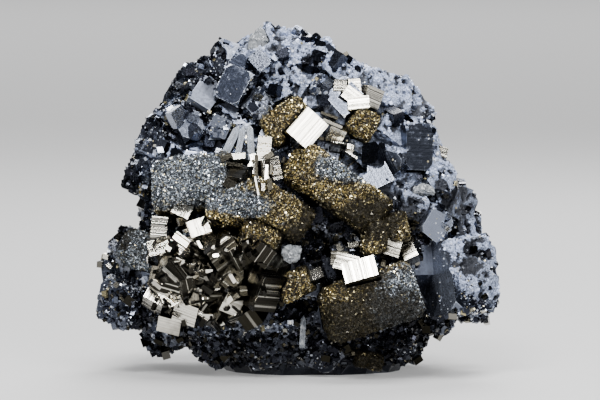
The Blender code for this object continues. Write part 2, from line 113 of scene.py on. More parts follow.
# Where middle-sized galena crystals crowd through the coat, and where its edge is spiky.
BLOCK_PATCHES = ((-12, 86, 10, 13), (6, 92, 8, 6), (8, 86, 10, 7))
NEEDLE_PATCHES = ((24, 92, 14, 9), (4, 101, 14, 5), (44, 66, 6, 12))
# Where gold grains spill from the chalcopyrite on to the mound.
SPILL_PATCHES = (
    (-34, 50, 12, 4),
    (-4, 34, 9, 8),
    (30, 44, 8, 7),
    (16, 12, 14, 5),
    (8, 42, 12, 9),
    (-47, 56, 4, 5),
)
# Where the chalcopyrite's grains are grey, and where they are gold in spite of that.
GREY_PATCHES = ((-34, 59, 15, 10), (31, 24, 9, 9), (18, 64, 13, 4), (-19, 53, 9, 4), (-50, 35, 8, 9))
GOLD_PATCHES = ((-30, 48, 12, 3), (-2, 64, 5, 6))
# Patches of painted shade over the front, and how dark each is.
PAINTED_SHADE_PATCHES = (
    (23, 19, 21, 11, 1.0),
    (0, 7, 48, 10, 0.5),
    (-12, 24, 9, 13, 0.5),
    (6, 43, 11, 10, 1.1),
    (28, 41, 8, 6, 0.6),
    (48, 11, 13, 6, 0.5),
    (-27, 35, 10, 4, 0.5),
    (22, 49, 14, 6, 1.0),
    (0, 45, 6, 6, 0.9),
    (34, 43, 5, 8, 0.5),
    (56, 33, 8, 12, 0.5),
    (50, 53, 9, 10, 0.65),
    (-52, 22, 9, 12, 0.4),
    (-54, 52, 8, 18, 0.95),
    (-32, 88, 9, 9, 0.5),
    (-44, 74, 9, 9, 0.4),
    (-17, 30, 9, 7, 0.7),
)
# The heap of pyrite, the part of it whose faces are painted dark as shade, and its brightest plates, which
# stay clean.
HEAP = ((-28, 31, 18, 18),)
PAINTED_SHADE_HEAP = ((-21, 29, 16, 12), (-37, 30, 7, 6))
BRIGHT_PLATES = (
    (-40.2, 41.4, 3.5, 4),
    (-33, 46.2, 3, 2.5),
    (-41, 36, 3, 2.2),
    (-30.3, 31, 2, 2),
    (-40.8, 21.3, 4.2, 3.5),
    (-29.7, 22.2, 2.7, 1.5),
    (-26, 17.7, 3, 2.5),
    (-19.5, 17.4, 2, 1.5),
    (-19.8, 25.2, 3.8, 2.4),
)
# Thin blades of pyrite: x, z, how far the middle stands out, sides, and turn.
BLADES = (
    (-13.2, 63.5, 0.6, (1.0, 3.0, 7.0), (-10, 14, 4)),
    (-11.6, 62.6, 0.9, (0.6, 3.0, 6.0), (-8, 20, -3)),
    (-10.2, 61.6, 0.7, (0.8, 2.6, 5.2), (-12, 10, 6)),
    (-14.8, 61.0, 0.5, (0.5, 2.6, 6.4), (-10, 26, 9)),
    (-9.0, 59.0, 0.8, (1.4, 2.4, 3.4), (-14, 8, -4)),
    (-13.0, 58.6, 0.5, (0.5, 2.4, 5.6), (-10, 18, -8)),
    (-16.4, 59.6, 0.5, (0.6, 2.4, 4.8), (-14, 24, 12)),
    (-4.8, 64.0, 0.8, (2.4, 2.0, 3.4), (-16, 12, 24)),
    (-9.2, 66.6, 0.9, (3.0, 2.0, 1.6), (-20, 8, -28)),
    (-19.4, 63.9, 0.8, (5.0, 2.4, 1.1), (-24, 4, 6)),
    (-21.6, 66.0, 0.4, (3.4, 2.4, 1.8), (-20, -4, -20)),
    (-20.4, 58.6, 0.8, (3.8, 3.0, 4.4), (-18, -6, 34)),
    (8.6, 78.0, 0.6, (5.4, 2.4, 0.8), (-10, 6, 20)),
    (9.4, 75.8, 0.8, (6.2, 2.6, 0.9), (-16, 10, 24)),
    (8.0, 71.0, 0.8, (5.0, 2.4, 1.0), (-18, 4, 4)),
    (11.4, 69.6, 0.6, (4.6, 2.2, 0.7), (-24, 8, 12)),
    (14.4, 66.8, 0.2, (5.2, 2.8, 0.6), (-20, 10, 34)),
    (16.8, 63.8, 0.2, (5.0, 2.8, 0.5), (-12, 14, 40)),
    (19.0, 61.6, 0.4, (4.4, 2.6, 0.6), (-26, 6, 28)),
    (14.8, 63.0, 0.1, (3.6, 2.6, 0.5), (-10, 20, -36)),
    (13.4, 95.2, 0.4, (2.6, 2.2, 1.2), (-24, 6, -30)),
    (-9.8, 64.6, 1.0, (1.6, 2.0, 2.6), (-22, 6, 8)),
    (-13.6, 66.2, 0.9, (1.8, 2.0, 1.8), (-26, -8, -14)),
    (-11.0, 58.2, 1.0, (1.0, 2.0, 2.4), (-20, 10, 4)),
    (-8.4, 62.6, 1.1, (0.7, 2.0, 3.0), (-24, -6, 2)),
    (-12.4, 60.4, 1.2, (0.9, 2.0, 2.2), (-22, 14, -10)),
)
# Lights: name, the side they come from and their height in degrees, distance, width and height in metres, and
# power as a share of the key light's setting.
LIGHTS = (
    ("key_light", 24, 20, 0.9, 0.34, 0.24, 0.5),
    ("high_light", -16, 45, 0.9, 0.34, 0.26, 1.0),
    ("top_light", 60, 78, 0.8, 0.5, 0.4, 0.7),
    ("back_light", 165, 40, 1.0, 0.4, 0.4, 0.7),
    ("far_floor_light", 180, 40, 4.5, 3.0, 3.0, 16.0),
)
# The point that the camera and the lights look at, in metres.
TARGET = Vector((0, -0.015, 0.0522))


def nodes_of(mineral):
    return [name for name in NODES if name.startswith(mineral)]


def colour_property(name, description, default):
    return FloatVectorProperty(
        name=name, description=description, default=default, subtype="COLOR", size=3, min=0, max=1
    )


def length_property(name, description, millimetres):
    return FloatProperty(
        name=name,
        description=description,
        default=millimetres * MM,
        min=0,
        unit="LENGTH",
        subtype="DISTANCE",
        precision=5,
    )


class GalenaSettings(bpy.types.PropertyGroup):
    """Colours and sizes of the galena and of the crust on it."""

    # Dark and light metal are one galena, shaded and lit: painted reflection of dark and of bright
    # surroundings.
    dark_metal: colour_property("Dark metal", "Galena faces that mirror the dark", (0.032, 0.038, 0.056))
    light_metal: colour_property("Light metal", "Galena faces with a silvery bloom", (0.22, 0.245, 0.31))
    crust: colour_property("Crust", "The pale granular coat", (0.37, 0.43, 0.60))
    crust_shadow: colour_property("Crust shadow", "Pits between the coat's grains", (0.05, 0.06, 0.08))
    edge_length: length_property("Mesh edge", "Longest edge of the dressed mound's mesh", 1.14)
    crust_relief: length_property("Crust relief", "How far the coat swells and sinks", 1.5)
    block_size: length_property("Block", "Width of the middle-sized galena crystals", 4.6)
    druse_size: length_property("Druse crystal", "Width of a small galena crystal", 1.7)
    glint_size: length_property("Glint", "Width of the bright specks", 0.62)
    needle_size: length_property("Coat crystal", "Length of the small crystals in the pale coat", 1.5)


class ChalcopyriteSettings(bpy.types.PropertyGroup):
    """Colours and sizes of the chalcopyrite and its coat of grains."""

    gold: colour_property("Gold", "Bright brassy grains", (0.55, 0.43, 0.15))
    brown: colour_property("Brown", "Tarnished grains", (0.115, 0.08, 0.03))
    grey: colour_property("Grey", "Grains with a blue-grey bloom", (0.42, 0.48, 0.55))
    edge_length: length_property("Mesh edge", "Longest edge of a dressed block's mesh", 1.0)
    relief: length_property("Relief", "How far a block's skin swells and sinks", 1.0)
    grain_size: length_property("Grain", "Width of a grain of the coat", 0.47)
    dust_size: length_property("Fine grain", "Width of the finest grains, on the front", 0.3)


class PyriteSettings(bpy.types.PropertyGroup):
    """Colours and sizes of the pyrite."""

    metal: colour_property("Metal", "Clean pyrite", (0.86, 0.82, 0.72))
    # This colour is random tarnish and also the painted shade of the heap's shaded faces.
    tarnish_and_shade: colour_property("Tarnish", "Dulled pyrite", (0.024, 0.022, 0.017))
    groove_width: length_property("Groove", "Distance between the finest grooves", 0.26)
    edge_wear: length_property("Edge wear", "Width of the worn edges", 0.14)
    chip_size: length_property("Chip", "Width of the small cubes between the large ones", 2.4)


class QuartzSettings(bpy.types.PropertyGroup):
    """Colours of the quartz."""

    tint: colour_property("Tint", "Clear pale-blue quartz", (0.80, 0.86, 0.95))
    # A darker glass for the low prism near the foot, as painted shade.
    shade_tint: colour_property("Smoke", "Dark quartz near the foot", (0.20, 0.22, 0.25))
    milk: colour_property("Milk", "Cloudy quartz", (0.33, 0.35, 0.37))


class StageSettings(bpy.types.PropertyGroup):
    """The floor, the lights and the camera."""

    floor_colour: colour_property("Floor", "Pale plain floor", (0.42, 0.42, 0.42))
    floor_glow: FloatProperty(
        name="Floor glow", description="Light that keeps the far floor pale", default=0.24, min=0
    )
    camera_distance: FloatProperty(
        name="Camera distance", description="From the lens to the specimen", default=1.5, unit="LENGTH"
    )
    camera_elevation: FloatProperty(
        name="Camera elevation",
        description="How far above level the camera looks from",
        default=math.radians(4),
        subtype="ANGLE",
        unit="ROTATION",
    )
    picture_width: FloatProperty(
        name="Picture width", description="Width of the view at the specimen", default=0.18, unit="LENGTH"
    )
    key_power: FloatProperty(
        name="Key light", description="Power of the main softbox", default=11.5, unit="POWER"
    )
    seed: IntProperty(name="Seed", description="Chooses one arrangement of the small crystals", default=7)


SETTINGS = {
    "galena": GalenaSettings,
    "chalcopyrite": ChalcopyriteSettings,
    "pyrite": PyriteSettings,
    "quartz": QuartzSettings,
    "stage": StageSettings,
}


def settings(name):
    return getattr(bpy.context.scene, f"specimen_{name}")


class Wire:
    """A node's output socket that takes Python's arithmetic."""

    def __init__(self, graph, socket):
        self.graph = graph
        self.socket = socket

    def math(self, operation, *values):
        return self.graph.node("ShaderNodeMath", {"operation": operation}, dict(enumerate(values)))

    def __add__(self, other):
        return self.math("ADD", self, other)

    __radd__ = __add__

    def __sub__(self, other):
        return self.math("SUBTRACT", self, other)

    def __rsub__(self, other):
        return self.math("SUBTRACT", other, self)

    def __mul__(self, other):
        return self.math("MULTIPLY", self, other)

    __rmul__ = __mul__

    def __truediv__(self, other):
        return self.math("DIVIDE", self, other)

    def __pow__(self, other):
        return self.math("POWER", self, other)


class Graph:
    """A node tree that is built one node at a time."""

    def __init__(self, tree):
        self.tree = tree
        self.tree.nodes.clear()

    def node(self, kind, values=None, sockets=None, output=0):
        """Adds a node with these settings, or a ramp's stops, and sockets. Gives one of its outputs."""
        node = self.tree.nodes.new(kind)
        for name, value in (values or {}).items():
            if name == "stops":
                self.set_stops(node.color_ramp, value)
            else:
                setattr(node, name, value)
        for key, value in (sockets or {}).items():
            if isinstance(value, Wire):
                self.tree.links.new(value.socket, node.inputs[key])
            else:
                node.inputs[key].default_value = value
        return Wire(self, node.outputs[output]) if node.outputs else node

    @staticmethod
    def set_stops(ramp, stops):
        while len(ramp.elements) < len(stops):
            ramp.elements.new(1)
        for element, (place, colour) in zip(ramp.elements, stops):
            element.position = place
            element.color = (*colour, 1)

    def attribute(self, name):
        return self.node("ShaderNodeAttribute", {"attribute_name": name}, output=2)

    def noise(self, millimetres, detail=3, roughness=0.55):
        """Noise whose lumps are about this wide."""
        place = self.node("ShaderNodeTexCoord", output=3)
        sockets = {"Vector": place, "Scale": 1 / (millimetres * MM), "Detail": detail, "Roughness": roughness}
        return self.node("ShaderNodeTexNoise", None, sockets)

    def lines(self, along, detail):
        """Noise that changes only along one direction."""
        sockets = {"W": along, "Scale": 1.0, "Detail": detail}
        return self.node("ShaderNodeTexNoise", {"noise_dimensions": "1D"}, sockets)

    def steps(self, value, low, high, start=0.0, end=1.0):
        """A smooth rise from start to end while the value goes from low to high."""
        return self.node(
            "ShaderNodeMapRange",
            {"interpolation_type": "SMOOTHSTEP"},
            {"Value": value, "From Min": low, "From Max": high, "To Min": start, "To Max": end},
        )

    def mix(self, factor, first, second):
        """Mixes two colours."""
        sockets = {0: factor, 6: rgba(first), 7: rgba(second)}
        return self.node("ShaderNodeMix", {"data_type": "RGBA"}, sockets, output=2)

    def with_painted_shade(self, colour, dark, low, high, most):
        """A colour darkened towards the dark colour by painted shade, where the point's painted shade value is
        high.
        """
        return self.mix(self.steps(self.attribute("deep"), low, high, 0, most), colour, dark)

    def ramp(self, value, *stops):
        return self.node("ShaderNodeValToRGB", {"stops": stops}, {"Fac": value})

    def bump(self, height, millimetres, strength=1.0):
        sockets = {"Height": height, "Distance": millimetres * MM, "Strength": strength}
        return self.node("ShaderNodeBump", None, sockets)


def rgba(colour):
    return colour if isinstance(colour, Wire) else (*colour[:3], 1)


def shade(colour, share):
    return tuple(share * part for part in colour)


def finish(name, look, *values):
    """A material from a function that gives the principled shader's sockets."""
    made = bpy.data.materials.new(name)
    made.use_nodes = True
    graph = Graph(made.node_tree)
    surface = graph.node("ShaderNodeBsdfPrincipled", None, look(graph, *values))
    graph.node("ShaderNodeOutputMaterial", None, {"Surface": surface})
    return made


def galena_look(graph):
    """Blue-grey metal, bright or dark from face to face, under a pale granular coat where crust is 1, with
    painted highlights along outward edges and painted shade in the crevices.
    """
    look = settings("galena")
    facet = graph.attribute("facet")
    deep = graph.attribute("deep")
    worn = graph.noise(0.8, detail=4)
    clouds = graph.noise(7.0, detail=3)
    scratches = graph.lines(graph.attribute("groove") / 0.8, 2)
    cover = graph.attribute("crust") + (worn - 0.5) * 0.8 + (clouds - 0.5) * 0.4 - deep * 0.25
    cover = graph.steps(cover, 0.3, 0.6)
    tone = graph.steps(facet * 0.95 + clouds * 0.25 + scratches * 0.08, 0.35, 1.1)
    bloom = graph.steps(graph.noise(2.2, detail=5, roughness=0.7) + (scratches - 0.5) * 0.3, 0.48, 0.78)
    satin = graph.steps(facet, 0.7, 0.98)
    stains = graph.steps(graph.noise(1.1, detail=5, roughness=0.75) * 0.8 + clouds * 0.2, 0.44, 0.56)
    clean = graph.mix(tone * (1 - 0.5 * satin * stains), look.dark_metal, look.light_metal)
    # Painted highlight: pale rims along the outward edges, broken up by noise.
    edges = graph.steps(graph.attribute("edge") + (worn - 0.5) * 0.5, 0.7, 0.95)
    metal = graph.mix(bloom * 0.35, clean, (0.20, 0.22, 0.28))
    metal = graph.mix(edges * 0.65, metal, (0.55, 0.60, 0.70))
    speckle = graph.noise(0.34, detail=3)
    broad = graph.noise(2.8, detail=4)
    coat_colour = graph.ramp(
        speckle * 0.72 + broad * 0.28 - deep * 0.1,
        (0.36, look.crust_shadow),
        (0.46, shade(look.crust, 0.55)),
        (0.56, shade(look.crust, 1.2)),
        (0.70, shade(look.crust, 1.6)),
    )
    lit = graph.mix(cover * (1 - edges * 0.5), metal, coat_colour)
    height = worn * 0.1 + scratches * 0.05 + (speckle + broad) * cover
    return {
        "Base Color": graph.with_painted_shade(lit, (0.012, 0.013, 0.018), 0.4, 1.0, 0.9),
        "Metallic": 0.95 - cover * 0.75 - (1 - cover) * (bloom * 0.3 + satin * 0.45),
        "Roughness": 0.16 + cover * 0.34 + worn * 0.10 + (1 - cover) * (bloom * 0.15 + satin * 0.15),
        "Normal": graph.bump(height, 0.4, 0.7),
    }


def druse_look(graph):
    """Small sparkling crystals, mostly blue-grey, some brassy, darkened by painted shade down among the
    others.
    """
    look = settings("galena")
    grain = graph.attribute("grain")
    colour = graph.ramp(
        grain,
        (0.0, (0.012, 0.013, 0.019)),
        (0.50, shade(look.dark_metal, 0.9)),
        (0.80, shade(look.light_metal, 0.8)),
        (0.93, (0.55, 0.59, 0.68)),
        (0.97, (0.40, 0.35, 0.20)),
    )
    return {
        "Base Color": graph.with_painted_shade(colour, (0.012, 0.012, 0.016), 0.4, 0.95, 0.85),
        "Metallic": 0.95,
        "Roughness": graph.steps(graph.noise(0.6), 0.3, 0.7, 0.12, 0.34),
        "Normal": graph.bump(graph.noise(0.5), 0.2, 0.3),
    }


def glint_look(graph):
    """Tiny crystals between the others, pale as painted glints so that they sparkle from any side, with
    painted shade in the crevices.
    """
    look = settings("galena")
    colour = graph.ramp(
        graph.attribute("grain"),
        (0.0, look.light_metal),
        (0.45, (0.62, 0.66, 0.74)),
        (0.86, (0.80, 0.83, 0.88)),
        (0.92, (0.60, 0.53, 0.34)),
    )
    return {
        "Base Color": graph.with_painted_shade(colour, (0.03, 0.032, 0.04), 0.6, 1.2, 0.7),
        "Metallic": 0.6,
        "Roughness": graph.steps(graph.noise(0.5), 0.3, 0.7, 0.12, 0.3),
    }


def coat_look(graph):
    """The pale coat's own small crystals, darkened by painted shade in the crevices."""
    look = settings("galena")
    grain = graph.attribute("grain")
    colour = graph.ramp(
        grain,
        (0.0, (0.08, 0.09, 0.125)),
        (0.16, (0.20, 0.23, 0.31)),
        (0.4, look.crust),
        (0.85, shade(look.crust, 1.25)),
        (1.0, (0.70, 0.72, 0.76)),
    )
    return {
        "Base Color": graph.with_painted_shade(colour, (0.02, 0.022, 0.03), 0.4, 0.95, 0.8),
        "Metallic": graph.steps(grain, 0.1, 0.4, 0.6, 0.15),
        "Roughness": graph.steps(grain, 0.1, 0.9, 0.25, 0.45),
    }


def crusted_colour(graph, grain):
    """The colour of a grain of the chalcopyrite's coat: gold and brown, or blue-grey where bloom is 1,
    darkened by painted shade.
    """
    look = settings("chalcopyrite")
    warm = graph.ramp(
        grain,
        (0.0, (0.006, 0.005, 0.003)),
        (0.30, (0.014, 0.010, 0.005)),
        (0.46, look.brown),
        (0.64, look.gold),
        (0.90, (0.76, 0.66, 0.38)),
        (0.99, (0.78, 0.74, 0.62)),
    )
    cool = graph.ramp(
        grain,
        (0.0, (0.010, 0.011, 0.014)),
        (0.34, (0.035, 0.04, 0.048)),
        (0.58, look.grey),
        (0.84, (0.72, 0.78, 0.84)),
        (0.97, (0.55, 0.47, 0.26)),
    )
    bloom = graph.steps(graph.attribute("bloom") + (graph.noise(1.5) - 0.5) * 1.5, 0.3, 0.7)
    # Painted shade, broken up by noise, takes the grains towards near black.
    shade_noise = (graph.noise(4.0, detail=4) - 0.5) * 1.6 + (graph.noise(0.9) - 0.5) * 0.6
    deep = graph.steps(graph.attribute("deep") + shade_noise, 0.3, 0.95, 0, 0.92)
    return graph.mix(deep, graph.mix(bloom, warm, cool), (0.012, 0.010, 0.006))


def chalcopyrite_skin_look(graph):
    """The skin between the grains, in specks of the same colours."""
    specks = graph.noise(0.3, detail=1)
    return {
        "Base Color": crusted_colour(graph, graph.steps(specks, 0.40, 0.90)),
        "Metallic": 0.7,
        "Roughness": 0.4,
        "Normal": graph.bump(graph.noise(0.45), 0.5, 0.9),
    }


def chalcopyrite_grain_look(graph):
    """The grains of the chalcopyrite's coat."""
    grain = graph.attribute("grain")
    return {
        "Base Color": crusted_colour(graph, grain),
        "Metallic": 0.8,
        "Roughness": graph.steps(grain, 0.0, 1.0, 0.36, 0.2),
    }


def pyrite_look(graph):
    """Bright metal with fine parallel grooves along each face, dulled at random in patches, and darkened by
    painted shade on the heap's shaded faces and in the crevices.
    """
    look = settings("pyrite")
    along = graph.attribute("groove") / (look.groove_width / MM)
    fine = graph.lines(along, 3)
    broad = graph.lines(along * 0.16, 1)
    patches = graph.noise(2.6, detail=4)
    # Darkened by random patches and face tones, and by painted shade on the heap's shaded faces and in
    # crevices.
    darkened = patches * 0.35 + graph.attribute("facet") * 0.75 + graph.attribute("deep") * 0.4
    darkened = graph.steps(darkened, 0.5, 0.8)
    stripes = graph.steps(fine * 0.4 + broad * 0.6, 0.57, 0.62)
    colour = graph.mix(darkened * (1 - stripes * 0.7), look.metal, look.tarnish_and_shade)
    ridges = graph.steps(fine * 0.6 + broad * 0.4, 0.36, 0.52, 0.25, 1.0)
    grooved = graph.mix(ridges, graph.mix(darkened, (0.09, 0.08, 0.055), (0.012, 0.011, 0.009)), colour)
    return {
        "Base Color": graph.with_painted_shade(grooved, (0.02, 0.018, 0.012), 0.3, 0.9, 0.85),
        "Metallic": 1.0,
        "Roughness": 0.09 + darkened * 0.07 + fine * 0.08,
        "Normal": graph.bump(fine + broad * 2, 0.10, 0.8),
    }


def chip_look(graph):
    """Small pyrite cubes between the large ones, darkened by painted shade in the crevices."""
    look = settings("pyrite")
    grain = graph.attribute("grain")
    colour = graph.ramp(
        grain,
        (0.0, (0.012, 0.011, 0.009)),
        (0.66, look.tarnish_and_shade),
        (0.84, look.metal),
    )
    return {
        "Base Color": graph.with_painted_shade(colour, (0.02, 0.018, 0.012), 0.4, 0.95, 0.8),
        "Metallic": 1.0,
        "Roughness": graph.steps(grain, 0.0, 1.0, 0.16, 0.1),
        "Normal": graph.bump(graph.noise(0.4), 0.2, 0.35),
    }


def quartz_look(graph, tint, transmission, roughness):
    """Clear or cloudy glass with pale veils."""
    veil = graph.noise(1.6, detail=4)
    return {
        "Base Color": graph.mix(graph.steps(veil, 0.45, 0.75, 0, 0.6), tint, (0.92, 0.94, 0.96)),
        "Roughness": roughness + veil * 0.12,
        "Transmission Weight": transmission,
        "IOR": 1.54,
        "Normal": graph.bump(graph.noise(0.7), 0.25, 0.3),
    }


def floor_look(graph):
    """A plain surface that glows a little, so that its far side stays pale."""
    look = settings("stage")
    return {
        "Base Color": rgba(look.floor_colour),
        "Roughness": 0.85,
        "Emission Color": (1, 1, 1, 1),
        "Emission Strength": look.floor_glow,
    }


def choose(*objects):
    """Selects only these objects, and makes the first one active."""
    if bpy.context.mode != "OBJECT":
        bpy.ops.object.mode_set(mode="OBJECT")
    bpy.ops.object.select_all(action="DESELECT")
    for obj in objects:
        obj.select_set(True)
    bpy.context.view_layer.objects.active = objects[0]


def in_edit_mode(obj, *steps):
    """Runs mesh operators on the whole of an object."""
    choose(obj)
    bpy.ops.object.mode_set(mode="EDIT")
    for step, values in steps:
        bpy.ops.mesh.select_all(action="SELECT")
        getattr(bpy.ops.mesh, step)(**values)
    bpy.ops.object.mode_set(mode="OBJECT")


def copy_node(node, name):
    """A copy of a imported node's shape, merged and with each flat face in one polygon."""
    source = frame["nodes"][node]
    made = bpy.data.objects.new(name, source.data.copy())
    made.matrix_world = source.matrix_world
    bpy.context.scene.collection.objects.link(made)
    made.data.materials.clear()
    in_edit_mode(
        made,
        ("customdata_custom_splitnormals_clear", {}),
        ("remove_doubles", {"threshold": MERGE_DISTANCE}),
        ("dissolve_limited", {"angle_limit": FLAT_ANGLE}),
        ("faces_shade_flat", {}),
    )
    choose(made)
    bpy.ops.object.transform_apply(location=True, rotation=True, scale=True)
    return made


def joined(objects, name):
    choose(*objects)
    bpy.ops.object.join()
    made = bpy.context.view_layer.objects.active
    made.name = name
    made.data.name = name
    return made


def read(items, field, width=3, kind=np.float32):
    """One row of numbers for each vertex, edge, face or corner."""
    values = np.empty(len(items) * width, kind)
    items.foreach_get(field, values)
    return values.reshape(-1, width) if width > 1 else values


def vertices(obj):
    return read(obj.data.vertices, "co") / MM


def write_attribute(obj, name, domain, values):
    """Stores one number for each point, face or corner, in place of any that have this name."""
    old = obj.data.attributes.get(name)
    if old:
        obj.data.attributes.remove(old)
    layer = obj.data.attributes.new(name, "FLOAT", domain)
    layer.data.foreach_set("value", np.asarray(values, np.float32))


def read_attribute(obj, name):
    return read(obj.data.attributes[name].data, "value", 1)


def refine(obj, limit):
    """Cuts the faces into triangles, then halves every edge that is longer than the limit where it lies."""
    in_edit_mode(obj, ("quads_convert_to_tris", {"quad_method": "BEAUTY", "ngon_method": "BEAUTY"}))
    for _ in range(MOST_HALVINGS):
        ends = read(obj.data.edges, "vertices", 2, np.int32)
        points = vertices(obj)
        first, second = points[ends[:, 0]], points[ends[:, 1]]
        longest = np.broadcast_to(limit((first + second) / 2), len(ends))
        long = np.linalg.norm(first - second, axis=1) > longest
        if not long.any():
            break
        choose(obj)
        bpy.ops.object.mode_set(mode="EDIT")
        bpy.ops.mesh.select_mode(type="EDGE")
        bpy.ops.mesh.select_all(action="DESELECT")
        bpy.ops.object.mode_set(mode="OBJECT")
        obj.data.edges.foreach_set("select", long)
        bpy.ops.object.mode_set(mode="EDIT")
        bpy.ops.mesh.subdivide(number_cuts=1)
        bpy.ops.mesh.select_all(action="SELECT")
        bpy.ops.mesh.quads_convert_to_tris(quad_method="SHORTEST_DIAGONAL", ngon_method="BEAUTY")
        bpy.ops.mesh.select_mode(type="FACE")
        bpy.ops.object.mode_set(mode="OBJECT")


def spread_to_points(obj, values, pick=np.minimum, start=1.0):
    """Each point takes the least of the values of the faces round it, or what else pick chooses."""
    corners = read(obj.data.loops, "vertex_index", 1, np.int32)
    totals = read(obj.data.polygons, "loop_total", 1, np.int32)
    result = np.full(len(obj.data.vertices), start, np.float32)
    pick.at(result, corners, np.repeat(values, totals))
    return result


def groove_faces(obj, seed):
    """Gives each flat face a direction for its grooves, along its longest edge or across it."""
    mesh = obj.data
    random = np.random.default_rng(seed)
    across = np.zeros(len(mesh.loops), np.float32)
    facet = np.zeros(len(mesh.polygons), np.float32)
    for face in mesh.polygons:
        corners = [mesh.vertices[index].co for index in face.vertices]
        edges = [after - before for before, after in zip(corners, corners[1:] + corners[:1])]
        longest = max(edges, key=lambda edge: edge.length).normalized()
        direction = longest if random.random() < 0.4 else face.normal.cross(longest)
        offset = random.uniform(0, 500)
        facet[face.index] = random.random()
        for loop, corner in zip(face.loop_indices, corners):
            across[loop] = corner.dot(direction) / MM + offset
    write_attribute(obj, "groove", "CORNER", across)
    write_attribute(obj, "facet", "FACE", facet)


def weigh(obj, name, values):
    """A vertex group from one weight for each point."""
    group = obj.vertex_groups.new(name=name)
    levels = np.round(np.clip(values, 0, 1) * WEIGHT_STEPS).astype(int)
    for level in np.unique(levels):
        group.add(np.nonzero(levels == level)[0].tolist(), level / WEIGHT_STEPS, "REPLACE")


def swell(obj, heights):
    """Moves each point out of the surface by its own height, or into it where that is below 0."""
    choose(obj)
    for sign in (1, -1):
        most = float((sign * heights).max())
        if most <= 0:
            continue
        weigh(obj, "relief", sign * heights / most)
        change = obj.modifiers.new("relief", "DISPLACE")
        change.strength = sign * most * MM
        change.mid_level = 0
        change.vertex_group = "relief"
        bpy.ops.object.modifier_apply(modifier=change.name)
        obj.vertex_groups.clear()


def wear_edges(obj, width):
    """Takes the sharp edges off, so that they catch the light."""
    choose(obj)
    bevel = obj.modifiers.new("wear", "BEVEL")
    bevel.width = width
    bevel.segments = 1
    bevel.limit_method = "ANGLE"
    bevel.angle_limit = WORN_ANGLE
    bevel.use_clamp_overlap = True
    bpy.ops.object.modifier_apply(modifier=bevel.name)


def outward_edges(obj):
    """1 at each point on a sharp edge that stands out, 0 elsewhere."""
    mesh = obj.data
    totals = read(mesh.polygons, "loop_total", 1, np.int32)
    edges = read(mesh.loops, "edge_index", 1, np.int32)
    ends = read(mesh.edges, "vertices", 2, np.int32)
    order = np.argsort(edges, kind="stable")
    faces = np.repeat(np.arange(len(totals)), totals)[order]
    edges = edges[order]
    twice = np.nonzero(edges[:-1] == edges[1:])[0]
    first, second = faces[twice], faces[twice + 1]
    normals = read(mesh.polygons, "normal")
    centres = read(mesh.polygons, "center")
    turned = (normals[first] * normals[second]).sum(axis=1) < math.cos(RIM_ANGLE)
    outward = ((centres[second] - centres[first]) * normals[first]).sum(axis=1) < 0
    values = np.zeros(len(mesh.vertices))
    values[ends[edges[twice[turned & outward]]].ravel()] = 1
    return values


def fractal(points, width, fineness=1.0):
    """Height of lumps about this wide, at each point."""
    return np.array([noise.fractal(Vector(point), fineness, 2.0, 3) for point in points / width])


def broken(points, width):
    """Height from 0 to 1 of a skin that is broken into angular blocks, each at its own level."""
    levels = np.empty(len(points))
    groove = 0.16
    for index, point in enumerate(points / width):
        distances, middles = noise.voronoi(Vector(point))
        level = noise.cell(middles[0] * 7.31)
        levels[index] = 0.5 + 0.5 * level - 0.6 * max(0.0, groove - (distances[1] - distances[0])) / groove
    return levels


def tree_of(objects):
    """One search tree of all these objects' faces, in millimetres."""
    corners = [vertices(obj) for obj in objects]
    starts = np.cumsum([0] + [len(part) for part in corners])
    faces = [
        [index + start for index in face.vertices]
        for obj, start in zip(objects, starts)
        for face in obj.data.polygons
    ]
    return BVHTree.FromPolygons(np.concatenate(corners).tolist(), faces)


def painted_shade_of(obj):
    """How much painted shade each point gets: 0 on open faces, about 1 in the crevices between crystals and
    near the foot.
    """
    points = vertices(obj)
    normals = read(obj.data.vertices, "normal")
    tree = tree_of(SHAPES)
    rays = np.random.default_rng(11).normal(size=(RAYS, 3))
    rays /= np.linalg.norm(rays, axis=1)[:, None]
    closed = np.zeros(len(points))
    for index, (point, normal) in enumerate(zip(points, normals)):
        start = Vector(point + normal * RAY_START)
        hits = 0
        for ray in rays:
            away = ray if ray @ normal > 0 else -ray
            hits += tree.ray_cast(start, Vector(away), RAY_REACH)[0] is not None
        closed[index] = hits / RAYS
    dark = np.max([row[4] * ellipse(points, (row[:4],), 0.5) for row in PAINTED_SHADE_PATCHES], axis=0)
    # Painted shade: walled-in points, a darkening towards the foot, and the painted shade patches on the
    # front.
    return closed + 0.5 * (1 - rise(points[:, 2], 3, 30)) + dark * rise(-points[:, 1], -30, -12)


def distance_to(objects, points):
    """How far each point, in millimetres, is from the nearest of these objects' surfaces."""
    nearest = np.full(len(points), 1000.0)
    for obj in objects:
        corners = vertices(obj)
        tree = tree_of([obj])
        close = ((points > corners.min(axis=0) - 3) & (points < corners.max(axis=0) + 3)).all(axis=1)
        for index in np.nonzero(close)[0]:
            nearest[index] = min(nearest[index], tree.find_nearest(Vector(points[index]))[3])
    return nearest


def ellipse(points, rows, soft=0.35):
    """1 inside any of the patches, 0 outside."""
    result = np.zeros(len(points))
    for x, z, half_width, half_height in rows:
        reach = np.hypot((points[:, 0] - x) / half_width, (points[:, 2] - z) / half_height)
        result = np.maximum(result, np.clip((1 + soft - reach) / (2 * soft), 0, 1))
    return result


def rise(values, low, high):
    share = np.clip((values - low) / (high - low), 0, 1)
    return share * share * (3 - 2 * share)


def wobble(points, width, seed=0):
    """Soft random values from 0 to 1 that change over about this width."""
    random = np.random.default_rng(seed)
    total = np.zeros(len(points))
    waves = 7
    for _ in range(waves):
        direction = random.normal(size=3)
        direction /= np.linalg.norm(direction)
        along = points @ direction * (2 * math.pi / width)
        total += np.sin(along * random.uniform(0.7, 1.5) + random.uniform(0, 6.3))
    return 0.5 + total / waves


